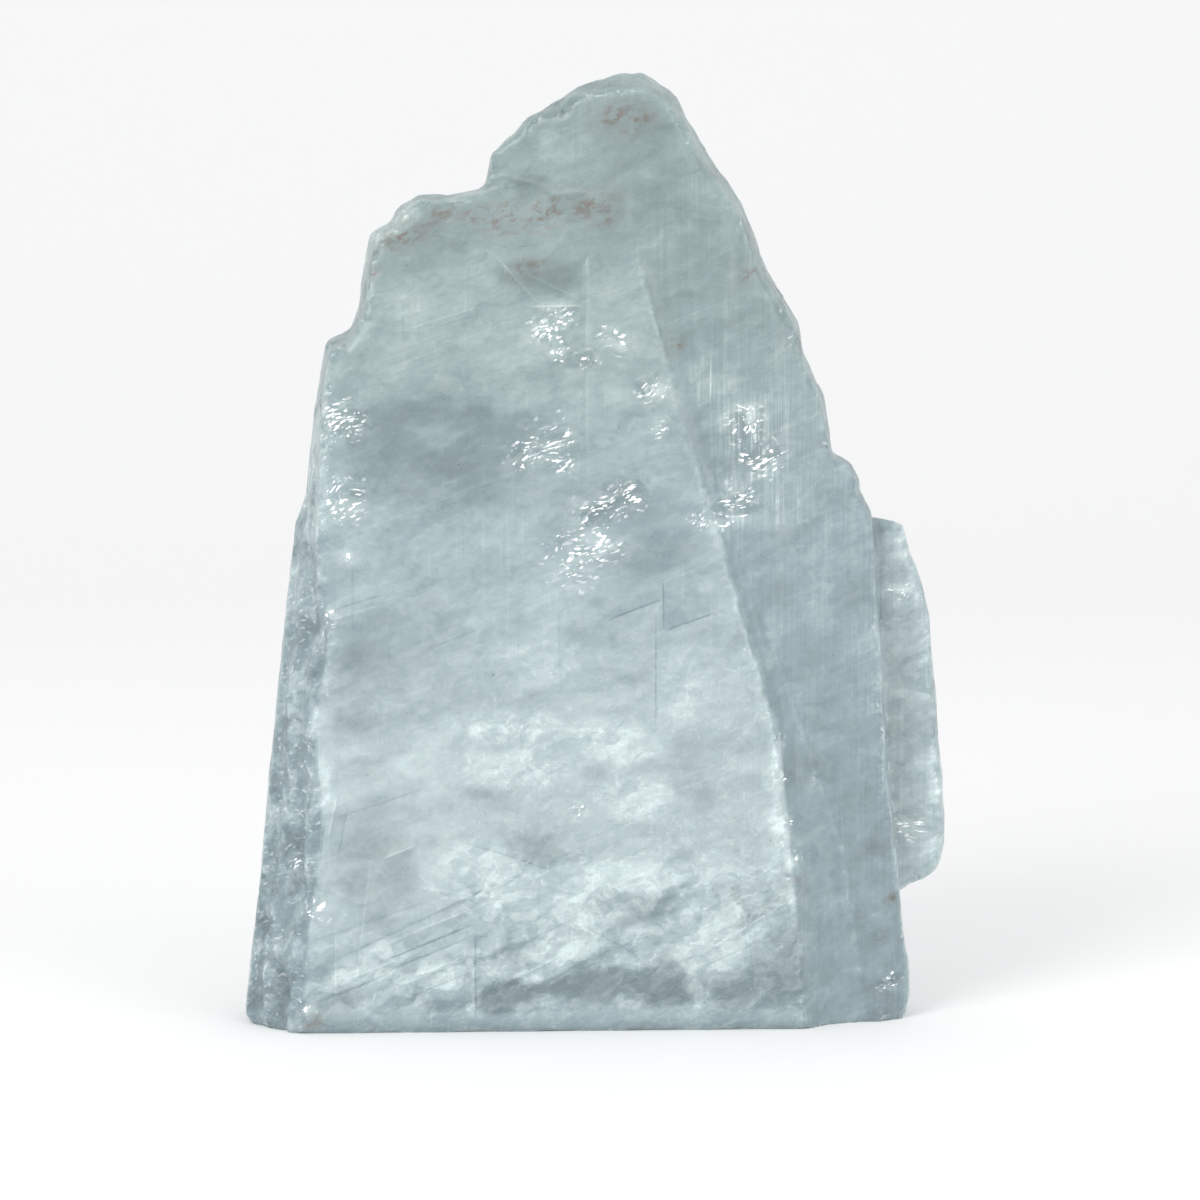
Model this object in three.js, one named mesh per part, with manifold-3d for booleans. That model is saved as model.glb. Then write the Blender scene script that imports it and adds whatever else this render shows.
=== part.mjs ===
// Selenite slab: one upright piece of milky gypsum crystal on a sawn flat base.
// Millimetres. +Z is up, the show face looks along -Y, and +X is the right-hand side of that face.
// The origin is the middle of the bounding box, on the base.

import * as THREE from 'three';
import { mergeVertices } from 'three/addons/utils/BufferGeometryUtils.js';
import Module from 'manifold-3d';

const wasm = await Module();
wasm.setup();

// Driving dimensions
const LEAN = 0.05; // how far the show face goes back for each millimetre up
const TURN = 0.05; // and for each millimetre to the right
const LEFT_EDGE = -55; // where the show face begins
const FACE_AT_BASE = -24; // depth of the show face at its lower left corner
const BAND_AT_BASE = -13; // depth of the left flank's rear edge at the base
const BODY_BACK = 4; // rear of the show plate at the base
const PLATE_BACK = 8; // rear of the peak plate at the base
const BACK_LEAN = 0.03; // how far the rear comes forward for each millimetre up
const PROFILE_HEIGHT = 166; // height at which the peak plate's plan profile is given
const BELOW_BASE = -12; // outlines start under the base, and the saw cut trims them
const CHAMFER = 2.6; // height of the bevel along the base's front edge
const CHAMFER_SLOPE = 0.45; // how far that bevel goes back for each millimetre down
const BURIED = 2.5; // how deep a cleavage sheet is rooted in the face under it
const CREST_LEFT = [-52, 134]; // x and z of the crest where the show face begins to lean further back
const CREST_RIGHT = [8, 156];
const CREST_TURN = 12; // degrees that it leans further back above the crest
const TERRACE_SPACING = 3.2; // how far apart the broken edges of the show plate's terraces lie
const PEAK_RIM_AT_BASE = -12.5; // depth of the peak plate's widest outline, at x = 0 on the base
const PEAK_RIM_TURN = 0.1; // how far that rim goes back for each millimetre to the right
const PEAK_RIM_WIDTH = 4; // and how thick it is before the plate narrows again
const STRIATIONS_FROM = 19; // x where the peak plate's fine upright steps begin
const STRIATIONS_TO = 60;
const FLAKE_DEPTHS = [2.6, 4.4, 8.2, 10.2]; // the side flake's face, its rim's two edges, and its rear
const BLADE_ROOT = -6; // depth from which the rear blades grow
const BLADE_TAPER = 0.0012; // how much the rear blades draw together for each millimetre up
const BLADE_BEVEL = 1.3; // bevel along a rear blade's upright edges

// Outlines as [x, z], from the base upward and then to the right
const LEFT_OUTER = [
  [-68, BELOW_BASE], [-68.5, 0], [-70, 2.5], [-68.5, 13.5], [-66.5, 33], [-64.5, 53], [-62.5, 73],
  [-61.5, 81.5], [-59.6, 99.5], [-57.6, 105], [-55.8, 122], [-54.4, 129.5], [-53.4, 135.5],
];
const LEFT_INNER = [
  [-57.5, BELOW_BASE], [-57.5, 10], [-56.5, 20.5], [-54, 25.5], [-53.5, 37.5], [-52.5, 46.5],
  [-55, 57], [-55, 68], [-52, 77], [-53.5, 90.5], [-53.5, 119.5], [-52, 134],
];
const TOP_OUTER = [
  [-53.4, 135.5], [-48.5, 138], [-46.8, 142.5], [-45.8, 150], [-44.4, 157], [-40.5, 159.2], [-38.7, 162.2],
  [-34.5, 164.4], [-28.5, 164.5], [-22, 166], [-18.5, 168], [-12, 167], [-9, 164.5], [1, 165.5], [5, 164.5],
];
const TOP_INNER = [
  [-52, 134], [-47.5, 136], [-44.8, 141.5], [-43.8, 149], [-42.4, 155], [-39, 157], [-36.9, 160.5],
  [-33.5, 162.5], [-28, 162.5], [-21.5, 164], [-18, 166], [-12.5, 165], [-9, 163], [0.5, 164], [4.5, 163.5],
];
const RIDGE_INNER = [
  [4.5, 163.5], [8, 154], [14, 130.5], [16, 121.5], [20.5, 109], [24, 97.5], [28, 84.5], [31.5, 72.5],
  [35.5, 57.5], [35.5, 44.5], [37.5, 35], [40, 30.5], [39.5, 27.5], [40.5, 17], [41.5, 0], [42, BELOW_BASE],
];
const RIDGE_OUTER = [
  [5, 164.5], [9.5, 155.5], [15, 139], [17, 129], [19.5, 121.5], [22.5, 116], [24.5, 102], [30, 89.5],
  [33, 78.5], [38, 65], [41, 54], [45.5, 44.5], [48.5, 33.5], [51.5, 17], [53, 0], [53.5, BELOW_BASE],
];
const PEAK_OUTLINE = [
  [-32, BELOW_BASE], [-32, 140], [-25, 158], [-22, 165.5], [-20.5, 172.5], [-16.5, 176], [-14, 179.5],
  [-6.5, 183.5], [-4, 185.5], [4, 188], [9, 188.5], [12.5, 186.5], [16, 183.5], [21, 174], [28.5, 163],
  [34, 149.5], [40, 139], [41, 133.5], [45, 125], [47, 113], [50.6, 111.2], [52.4, 108], [52.4, 105.6], [55, 101],
  [56, 92], [56.5, 77.5], [58, 58.5], [58.5, 48], [60.5, 28], [62, 15], [62.8, 9.5], [62.8, 4.5],
  [61.6, 0], [61, BELOW_BASE],
];
const FLAKE_OUTLINE = [
  [47, 94], [55, 99.5], [60, 99], [61.5, 98], [65, 87.5], [67, 79], [68.5, 63], [70, 47.5],
  [70.5, 38.5], [70.2, 32], [69, 28], [61.5, 24], [48, 21],
];
// Upright blades that the rear is grown from: where each lies along X, the heights of its broken
// top at its left and right, and how far back it reaches at the base
const REAR_BLADES = [
  { left: -62, right: -49, tops: [92, 101], back: 10.5 },
  { left: -51, right: -38, tops: [117, 128], back: 13.5 },
  { left: -40, right: -22, tops: [133, 141], back: 11.8 },
  { left: -25, right: -6, tops: [147, 139], back: 15 },
  { left: -9, right: 7, tops: [131, 140], back: 12.6 },
  { left: 4, right: 21, tops: [123, 112], back: 15.8 },
  { left: 18, right: 34, tops: [108, 98], back: 13 },
  { left: 31, right: 47, tops: [89, 78], back: 14.6 },
  { left: 44, right: 56, tops: [68, 50], back: 11 },
  { left: -57, right: -40, tops: [60, 76], back: 18.6 },
  { left: -43, right: -27, tops: [88, 79], back: 22 },
  { left: -30, right: -10, tops: [72, 82], back: 24 },
  { left: -13, right: 6, tops: [66, 57], back: 20.8 },
  { left: 3, right: 22, tops: [71, 53], back: 23.2 },
  { left: 19, right: 38, tops: [40, 27], back: 19 },
];

// The plan profile of the peak plate's face, as [x, y] at PROFILE_HEIGHT
const PEAK_PROFILE = [
  [-40, -4], [8, -11.8], [20, -10.6], [32, -8.2], [50, -3.3], [58, -0.8], [61, 1.5], [66, 6],
];

// A fixed sequence of numbers from 0 to 1, so that the broken edges are the same on every run
let seed = 20451;
function random() {
  seed = (seed * 1103515245 + 12345) % 2147483648;
  return seed / 2147483648;
}
const either = (amount) => amount * (2 * random() - 1);

// Surfaces, as the depth y at a place x, z
const faceY = (x, z) => FACE_AT_BASE + LEAN * z + TURN * (x - LEFT_EDGE);
const bandY = (x, z) => BAND_AT_BASE + LEAN * z;
const bodyBackY = (x, z) => BODY_BACK - BACK_LEAN * z;
const plateBackY = (x, z) => PLATE_BACK - BACK_LEAN * z;
const peakY = (x, z) => heightAt(PEAK_PROFILE, x) + LEAN * (z - PROFILE_HEIGHT);

// The second coordinate of a rising polyline at a first coordinate
function heightAt(points, x) {
  const next = Math.max(1, points.findIndex(([px]) => px >= x));
  const [ax, ay] = points[next - 1];
  const [bx, by] = points[next];
  return ay + ((by - ay) * (x - ax)) / (bx - ax);
}

// How far along an outline each of its points lies, from 0 to 1
function fractions(points) {
  const far = [0];
  for (let i = 1; i < points.length; i += 1) {
    far.push(far[i - 1] + Math.hypot(points[i][0] - points[i - 1][0], points[i][1] - points[i - 1][1]));
  }
  return far.map((length) => length / far[far.length - 1]);
}

// The place at a fraction of an outline's length
function placeAt(points, far, t) {
  const next = Math.max(1, far.findIndex((f) => f >= t - 1e-9));
  const k = (t - far[next - 1]) / (far[next] - far[next - 1]);
  const [ax, az] = points[next - 1];
  const [bx, bz] = points[next];
  return [ax + (bx - ax) * k, az + (bz - az) * k];
}

// Breaks the stretches of a closed outline into short uneven pieces
function ragged(outline, spacing, amount) {
  const broken = [];
  outline.forEach(([ax, az], i) => {
    const [bx, bz] = outline[(i + 1) % outline.length];
    const length = Math.hypot(bx - ax, bz - az);
    const pieces = Math.max(1, Math.round(length / spacing));
    broken.push([ax, az]);
    for (let k = 1; k < pieces; k += 1) {
      const t = (k + either(0.3)) / pieces;
      const push = either(amount) / length;
      broken.push([ax + (bx - ax) * t - (bz - az) * push, az + (bz - az) * t + (bx - ax) * push]);
    }
  });
  return broken;
}

// A closed three.js geometry as a solid that can be joined and cut
function solidFrom(geometry) {
  const bare = geometry.clone();
  bare.deleteAttribute('normal');
  bare.deleteAttribute('uv');
  const merged = mergeVertices(bare, 1e-4);
  const mesh = new wasm.Mesh({
    numProp: 3,
    vertProperties: Float32Array.from(merged.attributes.position.array),
    triVerts: Uint32Array.from(merged.index.array),
  });
  return new wasm.Manifold(mesh);
}

// Triangles that close a ring of points, seen along Y
function capOf(ring, offset, towardFront) {
  const flat = ring.map(([x, , z]) => new THREE.Vector2(x, z));
  return THREE.ShapeUtils.triangulateShape(flat, []).map(([a, b, c]) => {
    const turn = flat[b].clone().sub(flat[a]).cross(flat[c].clone().sub(flat[a]));
    const order = turn > 0 === towardFront ? [a, b, c] : [a, c, b];
    return order.map((k) => k + offset);
  });
}

// A solid skinned over rings of [x, y, z] points, the front ring first, all with the same count
function skinned(rings) {
  const count = rings[0].length;
  const flat = rings[0].map(([x, , z]) => new THREE.Vector2(x, z));
  const clockwise = THREE.ShapeUtils.isClockWise(flat);
  const faces = [...capOf(rings[0], 0, true)];
  faces.push(...capOf(rings[rings.length - 1], (rings.length - 1) * count, false));
  for (let r = 1; r < rings.length; r += 1) {
    for (let i = 0; i < count; i += 1) {
      const [a, b] = [(r - 1) * count + i, (r - 1) * count + ((i + 1) % count)];
      const [c, d] = [a + count, b + count];
      faces.push(...(clockwise ? [[a, b, d], [a, d, c]] : [[a, d, b], [a, c, d]]));
    }
  }
  const geometry = new THREE.BufferGeometry();
  geometry.setAttribute('position', new THREE.Float32BufferAttribute(rings.flat(2), 3));
  geometry.setIndex(faces.flat());
  return solidFrom(geometry);
}

// Everything on one side of a plane
function halfSpace(point, normal) {
  const reach = 600;
  const away = normal.clone().normalize();
  const box = new THREE.BoxGeometry(reach, reach, reach);
  box.applyQuaternion(new THREE.Quaternion().setFromUnitVectors(new THREE.Vector3(0, 0, 1), away));
  const middle = point.clone().addScaledVector(away, reach / 2);
  box.translate(middle.x, middle.y, middle.z);
  return solidFrom(box);
}

// A ring of an outline drawn in toward a middle by a scale, at a depth
function ringAt(outline, [mx, mz], scale, depth) {
  return outline.map(([x, z]) => {
    const [px, pz] = [mx + (x - mx) * scale, mz + (z - mz) * scale];
    return [px, depth(px, pz), pz];
  });
}

// The show plate: its flank and top fall back from the face in broken terraces, and its ridge in
// one hollow wall. Each ring is given as shares of the way out and of the way down
function showPlate() {
  const terraces = [
    { out: 0, deep: 0, loose: 0 },
    { out: 0.24, deep: 0.14, loose: 0.07 },
    { out: 0.36, deep: 0.46, loose: 0.07 },
    { out: 0.68, deep: 0.6, loose: 0.08 },
    { out: 0.8, deep: 0.93, loose: 0.05 },
  ];
  const wall = [
    { out: 0, deep: 0, loose: 0 },
    { out: 0.16, deep: 0.3, loose: 0.02 },
    { out: 0.38, deep: 0.57, loose: 0.02 },
    { out: 0.62, deep: 0.79, loose: 0.02 },
    { out: 0.86, deep: 0.95, loose: 0.01 },
  ];
  const stretches = [
    { inner: LEFT_INNER, outer: LEFT_OUTER, falls: terraces, restY: bandY, reach: 1 },
    { inner: TOP_INNER, outer: TOP_OUTER, falls: terraces, restY: bandY, reach: 1 },
    { inner: RIDGE_INNER, outer: RIDGE_OUTER, falls: wall, restY: peakY, reach: 1.5 },
  ];
  const rings = [...terraces.map(() => []), [], []];
  stretches.forEach(({ inner, outer, falls, restY, reach }) => {
    const [innerFar, outerFar] = [fractions(inner), fractions(outer)];
    const marks = outerFar.flatMap((f, i) => {
      if (i === 0) return [];
      const gap = f - outerFar[i - 1];
      const length = Math.hypot(outer[i][0] - outer[i - 1][0], outer[i][1] - outer[i - 1][1]);
      const pieces = Math.max(1, Math.round(length / TERRACE_SPACING));
      return Array.from({ length: pieces }, (_, k) => outerFar[i - 1] + (gap * k) / pieces);
    });
    marks.forEach((t) => {
      const [ix, iz] = placeAt(inner, innerFar, t);
      const [ox, oz] = placeAt(outer, outerFar, t);
      const [nearY, farY] = [faceY(ix, iz), restY(ox, oz)];
      const place = (out, deep) => {
        const [x, z] = [ix + (ox - ix) * out, iz + (oz - iz) * out];
        return [x, nearY + (farY - nearY) * deep, z];
      };
      falls.forEach(({ out, deep, loose }, k) => {
        rings[k].push(place(out + either(loose), deep + (k > 0 ? either(loose) : 0)));
      });
      const rim = place(reach, reach);
      rings[terraces.length].push(rim);
      rings[terraces.length + 1].push([rim[0], bodyBackY(rim[0], rim[2]), rim[2]]);
    });
  });
  return skinned(rings);
}

// The peak plate: an outlined slab whose face is folded at the peak and finely stepped to its right
function peakPlate() {
  const steps = [];
  let x = STRIATIONS_FROM;
  while (x < STRIATIONS_TO) {
    const width = 0.9 + 2.8 * random() ** 2;
    const y = heightAt(PEAK_PROFILE, x) + either(0.4);
    steps.push([x, y], [x + width - 0.25, y + 0.06 * width]);
    x += width;
  }
  const face = PEAK_PROFILE.filter(([px]) => px < STRIATIONS_FROM);
  const edge = PEAK_PROFILE.filter(([px]) => px > x);
  const plan = [...face, ...steps, ...edge, [66, 40], [-40, 40]];
  const shape = new THREE.Shape(plan.map(([px, py]) => new THREE.Vector2(px, py)));
  const folded = new THREE.ExtrudeGeometry(shape, { depth: 240, bevelEnabled: false });
  folded.translate(0, 0, -30);
  folded.applyMatrix4(new THREE.Matrix4().makeShear(0, 0, 0, 0, 0, LEAN));
  folded.translate(0, -LEAN * PROFILE_HEIGHT, 0);

  const outline = ragged(PEAK_OUTLINE, 4, 0.35);
  const middle = [8, 80];
  const rimY = (px, pz) => PEAK_RIM_AT_BASE + PEAK_RIM_TURN * px + LEAN * pz;
  const slab = skinned([
    ringAt(outline, middle, 0.95, (px, pz) => rimY(px, pz) - 14),
    ringAt(outline, middle, 1, rimY),
    ringAt(outline, middle, 1, (px, pz) => rimY(px, pz) + PEAK_RIM_WIDTH),
    ringAt(outline, middle, 0.94, (px, pz) => rimY(px, pz) + PEAK_RIM_WIDTH + 14),
  ]);
  const rear = halfSpace(new THREE.Vector3(0, PLATE_BACK, 0), new THREE.Vector3(0, 1, BACK_LEAN));
  return slab.intersect(solidFrom(folded)).subtract(rear);
}

// An upright blade of the rear, with a stepped top that slopes down toward the back
function rearBlade({ left, right, tops, back }) {
  const width = right - left;
  const stepAt = left + width * (0.35 + 0.3 * random());
  const stepDown = 2 + 5 * random();
  const slope = (tops[1] - tops[0]) / width;
  const highAt = (x) => tops[0] + slope * (x - left);
  const outline = [
    [left, BELOW_BASE], [left, tops[0] - 2.5], [left + 1.2, tops[0]], [stepAt - 0.6, highAt(stepAt)],
    [stepAt + 0.6, highAt(stepAt) - Math.sign(slope) * stepDown * 0.6],
    [right - 1.5, tops[1] - 1], [right, tops[1] - 4], [right, BELOW_BASE],
  ];
  const broken = ragged(outline, 7, 0.25);
  const middle = (left + right) / 2;
  const drop = 4 + 4 * random();
  const ring = (depth, inset, lower) => broken.map(([x, z]) => {
    const drawn = x - Math.sign(x - middle) * inset;
    const high = z > 0 ? z - lower * Math.min(1, z / tops[0]) : z;
    return [drawn * (1 - BLADE_TAPER * z), depth(z), high];
  });
  const backY = (z) => back - BACK_LEAN * z;
  return skinned([
    ring(() => BLADE_ROOT, 0, 0),
    ring((z) => backY(z) - BLADE_BEVEL, 0, 0.8 * drop),
    ring(backY, 0.7 * BLADE_BEVEL, drop),
  ]);
}

// The thin plate that stands out past the right edge
function sideFlake() {
  const broken = ragged(FLAKE_OUTLINE, 4, 0.3);
  const scales = [0.93, 1, 1, 0.9];
  return skinned(FLAKE_DEPTHS.map((depth, k) => ringAt(broken, [56, 62], scales[k], () => depth)));
}

// A cleavage sheet on a face: it stands out by `lift` at its middle and tilts by `tiltX` and `tiltZ`
function sheet(outline, lift, tiltX, tiltZ, surface = faceY, outward = -1, rooted = BURIED) {
  const mx = outline.reduce((sum, [x]) => sum + x, 0) / outline.length;
  const mz = outline.reduce((sum, [, z]) => sum + z, 0) / outline.length;
  const skin = (x, z) => surface(x, z) + outward * (lift + tiltX * (x - mx) + tiltZ * (z - mz));
  const root = (x, z) => surface(x, z) - outward * rooted;
  const rings = [ringAt(outline, [mx, mz], 0.985, skin), ringAt(outline, [mx, mz], 1, root)];
  return skinned(outward < 0 ? rings : rings.reverse());
}

// Sheets of the show face, from the top down
function faceSheets() {
  const strip = [
    [-2, 92], [-1.5, 136.5], [-2, 151.5], [8, 152.5], [12.5, 136.5], [15.5, 124.5], [18, 114.5],
    [22.5, 101.5], [23, 98], [11.5, 94.5], [2, 92.5],
  ];
  const apron = [
    [-21.5, 94], [-15, 97], [-13, 101], [-9.5, 104], [-7, 108], [-4, 109], [1, 111], [1, 92],
    [-2.5, 91.5], [-8, 92.5], [-13, 93.5],
  ];
  const shoulder = [
    [-53, 67], [-51.5, 76], [-34, 76], [-25.5, 79], [-18, 81.5], [-7, 84], [-2, 87], [-2, 92],
    [-23, 94], [-34.5, 93.5], [-50, 88.5], [-53, 85.5],
  ];
  const pane = [
    [11.5, 67.5], [11, 83], [13.5, 85.5], [13.5, 90], [25, 93], [30, 77.5], [33, 65.5], [34, 57.5],
    [25.5, 51.5], [15, 48.5], [12, 54],
  ];
  const lowerPane = [[-44, 38.5], [-33.5, 43.5], [-23.5, 45.5], [-24, 20.5], [-38, 16], [-46.5, 13], [-45.5, 26.5]];
  const footPane = [[-57, 3], [-56.5, 8.5], [-42.5, 14], [-24, 21.5], [-23.5, 3]];
  const scallops = [
    [-17, 32], [-7, 36], [1, 34.5], [11.5, 32.5], [20.5, 29], [35.5, 32.5], [38.5, 30], [38.5, 27.5],
    [18.5, 15], [8.5, 19], [-5.5, 13], [-11, 9], [-13.5, 8.5], [-17, 10], [-20.5, 8.5], [-23.5, 9.5],
    [-24, 21.5], [-21, 26.5],
  ];
  const fan = [[-8, 25.5], [0.5, 31.5], [8.5, 34], [13.5, 30.5], [11.5, 26], [1, 21], [-4, 20]];
  const foot = [[19, 14], [38.5, 26.5], [39, 17], [40, 8.5], [32.5, 6], [23.5, 7.5], [21.5, 10]];
  const chip = [[-57.5, 31], [-57, 43.5], [-54.5, 46], [-52, 46.5], [-53, 37], [-54.5, 32]];
  const brow = [[-38, 120], [-30, 128], [-14, 131], [-3, 127], [-3, 118], [-12, 112], [-26, 112]];
  return [
    sheet(strip, 0.45, -0.03, 0),
    sheet(apron, 0.75, 0, -0.03),
    sheet(shoulder, 0.35, 0.004, -0.035),
    sheet(pane, 0.4, -0.03, 0.01),
    sheet(lowerPane, 0.35, 0.025, -0.01),
    sheet(footPane, 0.5, 0.02, 0.02),
    sheet(scallops, 0.75, 0, 0.02),
    sheet(fan, 1.35, -0.03, 0.03),
    sheet(foot, 0.5, 0.02, 0.03),
    sheet(chip, 0.5, 0, -0.02, faceY, -1, 9),
    sheet(brow, 0.3, 0.01, -0.03),
  ];
}

// Hollows broken out of the show face
function faceHollows() {
  const clearHollow = [
    [-23.5, 7.5], [-20.5, 8.5], [-16.5, 10], [-13.5, 8.5], [-11, 9], [-7.5, 10.5], [-5.5, 13], [-1, 14],
    [2.5, 16.5], [8.5, 11.5], [12.5, 14], [15.5, 15], [19, 14.5], [20, 12], [22, 10], [20.5, 4.5],
    [12.5, 6], [6.5, 5], [0, 4.5], [-7.5, 5.5], [-12, 4], [-17, 3.5], [-23.5, 4],
  ];
  const notch = [[8, 72], [10, 74], [12, 71], [11, 66], [8.5, 66]];
  const depth = (outline, deep) => {
    const inside = ringAt(outline, [0, 10], 1, (x, z) => faceY(x, z) + deep);
    const outside = ringAt(outline, [0, 10], 1, (x, z) => faceY(x, z) - 6);
    return skinned([outside, inside]);
  };
  return [depth(clearHollow, 0.9), depth(notch, 0.4)];
}

// Thin sheets left on the rear where layers split away, above the blades
function rearSheets() {
  const tall = [[-10, 140], [-9.5, 168], [-4, 172], [1, 169], [2, 138]];
  const narrow = [[12, 122], [12.5, 160], [17, 165], [20, 158], [21, 120]];
  const broad = [[27, 96], [27.5, 136], [34, 131], [38, 118], [43, 108], [44, 88]];
  const corner = [[-50, 108], [-49, 128], [-42, 150], [-38, 153], [-37, 106]];
  return [
    sheet(tall, 0.8, 0.04, 0, plateBackY, 1),
    sheet(narrow, 0.9, -0.05, 0, plateBackY, 1),
    sheet(broad, 0.9, 0.04, 0, plateBackY, 1),
    sheet(corner, 0.8, -0.05, 0, bodyBackY, 1),
  ];
}

// The show plate's upper part leans back from a crest that climbs to the ridge
function upperLean() {
  const onFace = ([x, z]) => new THREE.Vector3(x, faceY(x, z), z);
  const crest = onFace(CREST_RIGHT).sub(onFace(CREST_LEFT)).normalize();
  const faceNormal = new THREE.Vector3(TURN, -1, LEAN).normalize();
  const turned = faceNormal.applyAxisAngle(crest, -THREE.MathUtils.degToRad(CREST_TURN));
  return halfSpace(onFace(CREST_LEFT), turned);
}

function slabGeometry() {
  const joined = wasm.Manifold.union([
    showPlate().subtract(upperLean()),
    peakPlate(),
    ...REAR_BLADES.map(rearBlade),
    sideFlake(),
    ...faceSheets(),
    ...rearSheets(),
  ]);
  const hollowed = faceHollows().reduce((solid, hollow) => solid.subtract(hollow), joined);
  const sawCut = halfSpace(new THREE.Vector3(0, 0, 0), new THREE.Vector3(0, 0, -1));
  const chamferFrom = new THREE.Vector3(LEFT_EDGE, FACE_AT_BASE, CHAMFER);
  const chamfer = halfSpace(chamferFrom, new THREE.Vector3(TURN, -1, -CHAMFER_SLOPE));
  const mesh = hollowed.subtract(sawCut).subtract(chamfer).getMesh();
  const geometry = new THREE.BufferGeometry();
  geometry.setAttribute('position', new THREE.BufferAttribute(Float32Array.from(mesh.vertProperties), 3));
  geometry.setIndex(new THREE.BufferAttribute(Uint32Array.from(mesh.triVerts), 1));
  geometry.computeBoundingBox();
  const middle = geometry.boundingBox.getCenter(new THREE.Vector3());
  geometry.translate(-middle.x, -middle.y, -geometry.boundingBox.min.z);
  geometry.computeVertexNormals();
  return geometry;
}

const selenite = new THREE.MeshStandardMaterial({ color: '#b9c9cb', roughness: 0.4, metalness: 0 });
const slab = new THREE.Mesh(slabGeometry(), selenite);
slab.name = 'selenite_slab';

const specimen = new THREE.Group();
specimen.name = 'specimen';
specimen.add(slab);

export default specimen;
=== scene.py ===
import math

import bmesh
import bpy
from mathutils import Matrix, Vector, noise


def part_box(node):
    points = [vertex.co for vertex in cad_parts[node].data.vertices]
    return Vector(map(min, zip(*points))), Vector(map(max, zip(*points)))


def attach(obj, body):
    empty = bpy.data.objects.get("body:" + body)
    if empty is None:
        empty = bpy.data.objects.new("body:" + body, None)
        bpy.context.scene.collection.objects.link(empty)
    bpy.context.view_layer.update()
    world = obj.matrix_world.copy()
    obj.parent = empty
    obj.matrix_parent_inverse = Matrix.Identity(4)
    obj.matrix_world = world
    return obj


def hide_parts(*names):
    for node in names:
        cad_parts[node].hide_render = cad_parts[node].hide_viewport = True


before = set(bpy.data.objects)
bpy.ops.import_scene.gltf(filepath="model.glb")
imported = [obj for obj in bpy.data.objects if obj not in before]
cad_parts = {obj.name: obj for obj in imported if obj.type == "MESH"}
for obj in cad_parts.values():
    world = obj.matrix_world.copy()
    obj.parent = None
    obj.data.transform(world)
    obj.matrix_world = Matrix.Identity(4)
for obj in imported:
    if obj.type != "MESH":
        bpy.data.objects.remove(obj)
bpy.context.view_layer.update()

bl_info = {
    "name": "Selenite slab",
    "version": (1, 0, 0),
    "blender": (4, 5, 0),
    "location": "View3D > Sidebar > Selenite",
    "description": "Dresses an upright slab of milky selenite and lights it in a pale studio",
    "category": "Object",
}

NODE = "selenite_slab"
MM = 0.001
LOWEST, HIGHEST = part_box(NODE)
TOP = HIGHEST[2]

# What the patterns' random offsets are drawn from
SEED = 4

# The main cleavage direction climbs to the right across the show face by this turn
RISING = math.radians(21)
# Half the width of a cleavage line, and the shortest edge that is kept, in millimetres
LINE_HALF = 0.3
SHORTEST = 0.12

# All places below are on the show face, as x and z in millimetres

# The ridge wall's height, its crest's x and its foot's x
RIDGE = [(0, 41.5, 53), (35, 38, 48), (58, 35.5, 40), (98, 24, 26.5), (130, 14, 17), (165, 4.5, 6)]
# The height and x of the edge between the left flank and the show face
FLANK_EDGE = [
    (0, -57.5), (20, -56.5), (40, -53.5), (60, -55), (77, -52.5), (134, -52),
    (142, -45), (155, -42), (161, -36),
]
# The height and x of the side plate's outer edge
PLATE_EDGE = [(0, 61), (28, 60), (77, 56), (101, 54), (112, 46.5), (139, 39.5), (163, 28), (180, 17)]
# The side flake lies right of this x and between these heights
FLAKE_FROM = 56
FLAKE_HEIGHTS = (20, 101)

# Where the side plate and the ridge wall end in the one plate of the peak, as a height
PEAK_FROM = 165
# The heights between which the show face and the side plate are flat
FACE_HEIGHTS = (4.5, 160)
PLATE_HEIGHTS = (2, 175)
# The heights where a look's change starts and ends
BROKEN_HEIGHTS = (42, 28)
CLOUDY_HEIGHTS = (90, 60)
THREADY_HEIGHTS = (100, 60)
STRIP_HEIGHTS = (3.5, 5)
WORN_HEIGHTS = (60, 120)
BAND_HEIGHTS = (30, 120)
WARM_HEIGHTS = (90, 160)
# The calm lower left of the show face: its heights, and its sides as x, from none to full
CALM_HEIGHTS = (12, 20)
CALM_SIDES = (-22, -34)

# Paleness by height, from 0 to 255, of the show face and of the striated side plate
FACE_TONES = [
    (0, 158), (5, 177), (20, 187), (50, 188), (80, 177), (112, 168), (132, 169), (150, 159), (188, 152),
]
PLATE_TONES = [(0, 144), (12, 148), (70, 156), (110, 163), (150, 155), (188, 151)]

# Paleness, from 0 to 1, of the ridge wall, darkened as painted shade for its side turned away from the
# light, the flanks, the left band from low to high, and the side flake
PAINTED_SHADE_WALL_TONE = 0.61
FLANK_TONE = 0.65
BAND_TONES = (0.605, 0.69)
FLAKE_TONE = 0.72

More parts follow.
